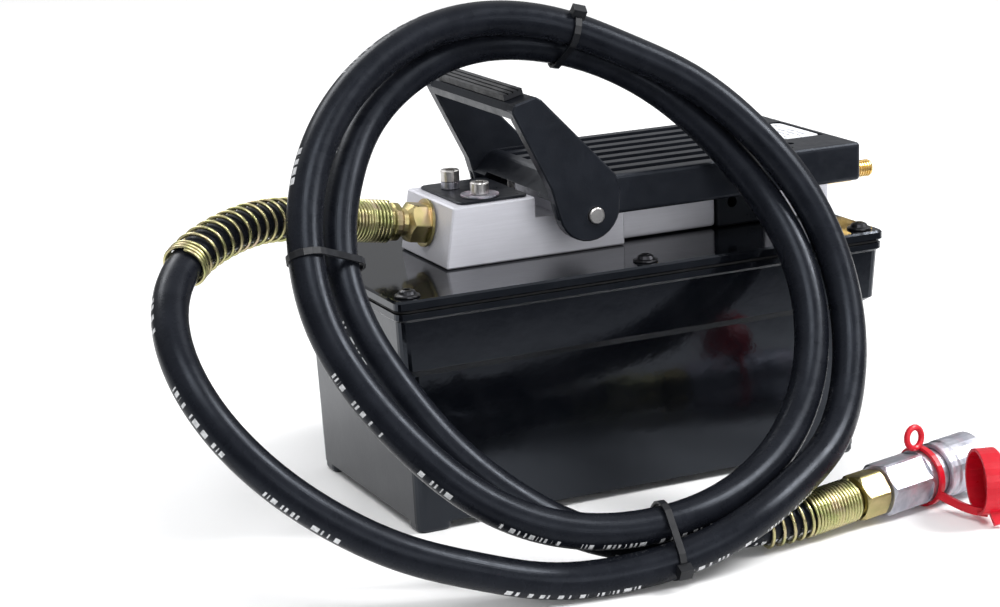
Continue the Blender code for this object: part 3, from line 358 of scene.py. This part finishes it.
def printed_label():
    """White stock with rows of plain grey bars where a rating table would be."""
    m = Paint("label_stock", (0.80, 0.82, 0.85), 0.3)
    axes = m.node("ShaderNodeSeparateXYZ")
    m.link(m.place, axes.inputs[0])
    x, y = axes.outputs[0], axes.outputs[1]
    from_edge = m.math("SUBTRACT", x, 0.0915)
    row = m.math("LESS_THAN", m.math("FRACT", m.math("DIVIDE", from_edge, ROW_PITCH)), 0.34)
    inside = m.math("MULTIPLY", m.math("GREATER_THAN", x, LABEL_LOW), m.math("LESS_THAN", x, LABEL_HIGH))
    inside = m.math("MULTIPLY", inside, m.math("LESS_THAN", m.math("ABSOLUTE", y), LABEL_HALF))
    cell_y = m.math("FLOOR", m.math("DIVIDE", y, BAR_PITCH))
    cell_x = m.math("FLOOR", m.math("DIVIDE", x, ROW_PITCH))
    cell = m.math("ADD", cell_y, cell_x)
    random = m.node("ShaderNodeTexWhiteNoise", noise_dimensions="1D")
    m.link(cell, random.inputs["W"])
    bar = m.math("GREATER_THAN", random.outputs["Value"], 0.3)
    ink = m.math("MULTIPLY", m.math("MULTIPLY", row, inside), bar)
    paper = m.blend(m.ramp(m.noise(90, 5), 0.35, 0.7), (0.74, 0.76, 0.79), (0.84, 0.85, 0.88), None)
    m.blend(ink, paper, (0.22, 0.23, 0.28))
    m.rough(m.ramp(m.noise(150, 5), 0.3, 0.7, 0.22, 0.4))
    m.bump(m.noise(700, 3), 0.06, 0.0001)
    return m.material


def plastic(name, colour, low, roughness, subsurface=0.0, specular=0.5):
    m = Paint(name, colour, roughness, Specular_IOR_Level=specular)
    if subsurface:
        m.shader.inputs["Subsurface Weight"].default_value = subsurface
        m.shader.inputs["Subsurface Radius"].default_value = (0.004, 0.001, 0.001)
        m.shader.inputs["Subsurface Scale"].default_value = 0.5
    m.blend(m.ramp(m.noise(80, 5), 0.35, 0.7), low, colour)
    m.rough(m.ramp(m.noise(170, 5), 0.3, 0.7, roughness * 0.8, roughness * 1.3))
    m.rounded(0.0003)
    m.bump(m.noise(900, 3), 0.07, 0.00015)
    return m.material


ENAMEL = enamel()
CASTING = cast_black()
SATIN = satin_black()
ALUMINIUM = machined("satin_aluminium", (0.68, 0.68, 0.735), (0.06, 1, 1), 0.9, (0.44, 0.58), 0.08, 0.3)
BRIGHT = machined("bright_steel", (0.62, 0.60, 0.58), (1, 0.1, 1), 0.85, (0.26, 0.40), 0.06)
BLACK_OXIDE = machined("black_oxide", (0.05, 0.05, 0.055), (1, 1, 0.2), 0.6, (0.26, 0.42), 0.08)
ZINC = plated("zinc_plate", [(0.52, 0.52, 0.57), (0.36, 0.37, 0.43), (0.60, 0.44, 0.50)], 0.40)
YELLOW = plated("yellow_zinc", [(0.45, 0.37, 0.18), (0.34, 0.31, 0.13), (0.48, 0.34, 0.26)], 0.34)
WIRE = plated(
    "yellow_zinc_wire", [(0.52, 0.46, 0.25), (0.38, 0.40, 0.17), (0.56, 0.42, 0.34)], 0.28, rounding=0,
)
BRASS = plated("turned_brass", [(0.70, 0.48, 0.17), (0.60, 0.39, 0.11), (0.74, 0.54, 0.26)], 0.28)
RUBBER = rubber_hose()
SEAL = plastic("seal_rubber", (0.012, 0.012, 0.013), (0.008, 0.008, 0.008), 0.6, specular=0.25)
TREAD = plastic("tread_rubber", (0.013, 0.014, 0.018), (0.007, 0.0075, 0.010), 0.5, specular=0.3)
NYLON = plastic("black_nylon", (0.008, 0.009, 0.012), (0.004, 0.0045, 0.006), 0.36, specular=0.3)
RED = plastic("red_plastic", (0.56, 0.006, 0.020), (0.46, 0.004, 0.014), 0.32, 0.12, 0.35)
LABEL = printed_label()
STRAINER = plated("strainer", [(0.5, 0.48, 0.42), (0.4, 0.38, 0.33), (0.55, 0.5, 0.42)], 0.5)

FINISHES = {
    "gloss_black_paint": ENAMEL, "satin_black_paint": SATIN, "black_casting": CASTING,
    "black_oxide_steel": BLACK_OXIDE, "satin_aluminium": ALUMINIUM, "bright_steel": BRIGHT,
    "zinc_plate": ZINC, "yellow_zinc": YELLOW, "brass": BRASS, "hose_rubber": RUBBER,
    "seal_rubber": SEAL, "tread_rubber": TREAD, "black_nylon": NYLON, "red_plastic": RED,
    "label_white": LABEL, "filter_mesh": STRAINER,
}
SLOT_OF = {row["node"]: row["material_slot"] for row in frame["record"]["subparts"]}


# ---------------------------------------------------------------- shaping

def piece(name, bm, finish, body, stands_for=(), smooth=40):
    """A finished mesh piece that rides on a body."""
    bmesh.ops.recalc_face_normals(bm, faces=bm.faces)
    mesh = bpy.data.meshes.new(name)
    bm.to_mesh(mesh)
    bm.free()
    mesh.materials.append(finish)
    mesh.shade_smooth()
    mesh.set_sharp_from_angle(angle=math.radians(smooth))
    obj = bpy.data.objects.new(name, mesh)
    bpy.context.scene.collection.objects.link(obj)
    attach(obj, body)
    if stands_for:
        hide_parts(*stands_for)
    return obj


def smooth_path(points, samples):
    """Points at even steps along a natural cubic spline through the given ones."""
    count = len(points)
    lengths = [0.0]
    for a, b in zip(points, points[1:]):
        lengths.append(lengths[-1] + (b - a).length)
    spans = [b - a for a, b in zip(lengths, lengths[1:])]
    second = [Vector() for _ in points]
    upper, right = [0.0] * count, [Vector() for _ in points]
    for i in range(1, count - 1):
        slope = (points[i + 1] - points[i]) / spans[i] - (points[i] - points[i - 1]) / spans[i - 1]
        pivot = 2 * (spans[i - 1] + spans[i]) - spans[i - 1] * upper[i - 1]
        upper[i] = spans[i] / pivot
        right[i] = (6 * slope - spans[i - 1] * right[i - 1]) / pivot
    for i in range(count - 2, 0, -1):
        second[i] = right[i] - upper[i] * second[i + 1]

    def at(s):
        i = max(0, min(count - 2, sum(1 for v in lengths if v <= s) - 1))
        h, t = spans[i], s - lengths[i]
        a, b = 1 - t / h, t / h
        linear = points[i] * a + points[i + 1] * b
        return linear + (second[i] * (a**3 - a) + second[i + 1] * (b**3 - b)) * h * h / 6

    return [at(lengths[-1] * i / (samples - 1)) for i in range(samples)]


def frames_along(path, side=Vector((0, 0, 1))):
    """(point, two directions across, distance) at each point, carried along without twist."""
    found, travelled = [], 0.0
    for i, p in enumerate(path):
        ahead = (path[min(i + 1, len(path) - 1)] - path[max(i - 1, 0)]).normalized()
        side = (side - ahead * side.dot(ahead)).normalized()
        if i:
            travelled += (p - path[i - 1]).length
        found.append((p, side, ahead.cross(side), travelled))
    return found


def sweep(path, radius, sides, side=Vector((0, 0, 1)), attributes=False, rounding=0.0):
    """A round tube along a path, closed at both ends."""
    bm = bmesh.new()
    rings = []
    stations = frames_along(path, side)
    if attributes:
        along_key = bm.verts.layers.float.new("along")
        around_key = bm.verts.layers.float.new("around")
    last = len(stations) - 1
    for k, (p, u, v, s) in enumerate(stations):
        ring = []
        r = radius - rounding if k in (0, last) else radius
        for i in range(sides):
            a = 2 * math.pi * i / sides
            vert = bm.verts.new(p + r * (u * math.cos(a) + v * math.sin(a)))
            if attributes:
                vert[along_key] = s
                vert[around_key] = 1 - abs((i / sides) * 2 - 1)
            ring.append(vert)
        rings.append(ring)
    for lower, upper in zip(rings, rings[1:]):
        for i in range(sides):
            j = (i + 1) % sides
            bm.faces.new((lower[i], lower[j], upper[j], upper[i]))
    bm.faces.new(rings[0][::-1])
    bm.faces.new(rings[-1])
    return bm


# ---------------------------------------------------------------- hose

def hose_path(samples):
    lead = 5 * MM
    start = HOSE_ROUTE[0] + PORT_AXIS * lead
    end = HOSE_ROUTE[-1] - COUPLER_AXIS * lead
    middle = smooth_path([start, *HOSE_ROUTE[1:-1], end], samples)
    points = [HOSE_ROUTE[0], *middle, HOSE_ROUTE[-1]]
    return [p + SHIFT for p in points]


PATH = hose_path(PATH_POINTS)


def printed_side():
    """The direction, at the hose's start, that turns outwards where the loop passes the tank's left end."""
    left_of_loop = (Vector((-190.7, -91.7, 160)) * MM) + SHIFT
    at = min(range(len(PATH)), key=lambda i: (PATH[i] - left_of_loop).length)
    outwards = Vector((-1, -0.2, 0.1))
    return frames_along(PATH[at::-1], outwards)[-1][1]


def make_hose():
    bm = sweep(PATH, HOSE_RADIUS, HOSE_SIDES, printed_side(), attributes=True, rounding=0.6 * MM)
    return piece("hose_cover", bm, RUBBER, "pump", ["hose"], 50)


def coil(name, lead, path, turns, stands_for):
    """A wire wound round the hose; turns gives how far each turn advances."""
    line = lead + path
    lengths = [0.0]
    for a, b in zip(line, line[1:]):
        lengths.append(lengths[-1] + (b - a).length)
    lengths = np.array(lengths)
    points, travelled = [], 0.0
    side = Vector((0, 0, 1))
    for k in range(len(turns) * STEPS_PER_TURN):
        turn = turns[k // STEPS_PER_TURN]
        j = max(0, min(len(line) - 2, int(np.searchsorted(lengths, travelled, "right")) - 1))
        share = (travelled - lengths[j]) / max(1e-9, lengths[j + 1] - lengths[j])
        middle = line[j].lerp(line[j + 1], share)
        ahead = (line[min(len(line) - 1, j + 3)] - line[max(0, j - 2)]).normalized()
        side = (side - ahead * side.dot(ahead)).normalized()
        a = 2 * math.pi * k / STEPS_PER_TURN
        points.append(middle + COIL_RADIUS * (side * math.cos(a) + ahead.cross(side) * math.sin(a)))
        travelled += turn / STEPS_PER_TURN
    bm = sweep(points, WIRE_RADIUS, 12, rounding=0.3 * MM)
    return piece(name, bm, WIRE, "pump", stands_for, 80)


hose = make_hose()
LEAD = range(0, 13, 2)  # mm
port_lead = [PORT_FACE + SHIFT + PORT_AXIS * (PORT_COIL_START + i) * MM for i in LEAD]
far_lead = [COUPLER_START + SHIFT - COUPLER_AXIS * (COUPLER_COIL_START + i) * MM for i in LEAD]
port_coil = coil("port_spring", port_lead + [PATH[0]], PATH[3:], PORT_TURNS, ["port_spring_guard"])
far_coil = coil(
    "coupler_spring", far_lead + [PATH[-1]], PATH[:-3][::-1], COUPLER_TURNS, ["coupler_spring_guard"],
)


# ---------------------------------------------------------------- CAD nodes' finishes

for name, node in NODES.items():
    slot = SLOT_OF[name]
    node.data.materials.clear()
    node.data.materials.append(FINISHES[slot])
    node.data.shade_smooth()
    node.data.set_sharp_from_angle(angle=CREASE)

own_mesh(NODES["valve_return_spring"])


# ---------------------------------------------------------------- stage

FLOOR_HALF = 6
FLOOR_MIDDLE = (0, 2, 0)
PAINTED_SHADE_FROM, PAINTED_SHADE_TO = -0.17, -0.34  # along Y: the floor's painted shade, seen only where a finish mirrors it, fades in between these
SKY_COLOUR = (0.97, 0.98, 1, 1)
SKY_STRENGTH = 0.55
MIRRORED_SKY = {"From Min": 0.05, "From Max": 0.7, "To Min": 0.24, "To Max": 0.9}  # height to strength
LIGHTS = (  # name, place, target, size and watts
    ("key", (-0.5, -1.2, 2.0), (0, -0.05, 0.1), (0.9, 0.9), 22),
    ("fill", (1.5, -0.8, 1.6), (0, -0.05, 0.1), (0.6, 0.8), 48),
    ("front", (0.1, -1.7, 0.5), (0, -0.05, 0.12), (1.2, 0.6), 7),
    ("rim", (-0.6, 1.7, 1.9), (0, 0, 0.1), (1.6, 0.8), 30),
)


def make_stage():
    """A pale floor. The part of it in front of the object is painted near black for mirror rays only:
    painted shade that the finishes show as a painted dark reflection.
    """
    bm = bmesh.new()
    bmesh.ops.create_grid(bm, x_segments=1, y_segments=1, size=FLOOR_HALF)
    mesh = bpy.data.meshes.new("floor")
    bm.to_mesh(mesh)
    bm.free()
    floor = bpy.data.objects.new("floor", mesh)
    bpy.context.scene.collection.objects.link(floor)
    floor.location = FLOOR_MIDDLE
    paper = Paint("floor_paper", (0.93, 0.93, 0.93), 0.7)
    cloud = paper.ramp(paper.noise(3, 3), 0.3, 0.7)
    pale = paper.blend(cloud, (0.92, 0.92, 0.92), (0.95, 0.95, 0.95), None)
    where = paper.node("ShaderNodeSeparateXYZ")
    paper.link(paper.node("ShaderNodeNewGeometry").outputs["Position"], where.inputs[0])
    mirrored = paper.node("ShaderNodeLightPath").outputs["Is Glossy Ray"]
    ahead = paper.ramp(where.outputs[1], PAINTED_SHADE_FROM, PAINTED_SHADE_TO)
    painted_shade_in_mirrors = paper.math("MULTIPLY", mirrored, ahead)
    # painted shade: in reflections only, the floor in front turns near black, giving finishes a painted dark
    # reflection
    paper.blend(painted_shade_in_mirrors, pale, (0.05, 0.055, 0.065))
    mesh.materials.append(paper.material)


def area_light(name, place, target, size, energy):
    data = bpy.data.lights.new(name, "AREA")
    data.shape = "RECTANGLE"
    data.size, data.size_y = size
    data.energy = energy
    lamp = bpy.data.objects.new(name, data)
    lamp.location = place
    lamp.rotation_euler = (Vector(target) - Vector(place)).to_track_quat("-Z", "Y").to_euler()
    bpy.context.scene.collection.objects.link(lamp)


def make_light():
    """An even sky for soft light, which mirror-like finishes see as brighter overhead."""
    world = bpy.data.worlds.new("studio")
    world.use_nodes = True
    tree = world.node_tree
    background = tree.nodes["Background"]
    background.inputs["Color"].default_value = SKY_COLOUR
    direction = tree.nodes.new("ShaderNodeSeparateXYZ")
    tree.links.new(tree.nodes.new("ShaderNodeTexCoord").outputs["Generated"], direction.inputs[0])
    rise = tree.nodes.new("ShaderNodeMapRange")
    rise.interpolation_type = "SMOOTHSTEP"
    for key, value in MIRRORED_SKY.items():
        rise.inputs[key].default_value = value
    tree.links.new(direction.outputs[2], rise.inputs["Value"])
    mirrored = tree.nodes.new("ShaderNodeLightPath").outputs["Is Glossy Ray"]
    choose = tree.nodes.new("ShaderNodeMix")
    choose.inputs[2].default_value = SKY_STRENGTH
    tree.links.new(mirrored, choose.inputs["Factor"])
    tree.links.new(rise.outputs[0], choose.inputs[3])
    tree.links.new(choose.outputs[0], background.inputs["Strength"])
    bpy.context.scene.world = world
    for light in LIGHTS:
        area_light(*light)


make_stage()
make_light()

view = bpy.context.scene.view_settings
view.view_transform = "Standard"
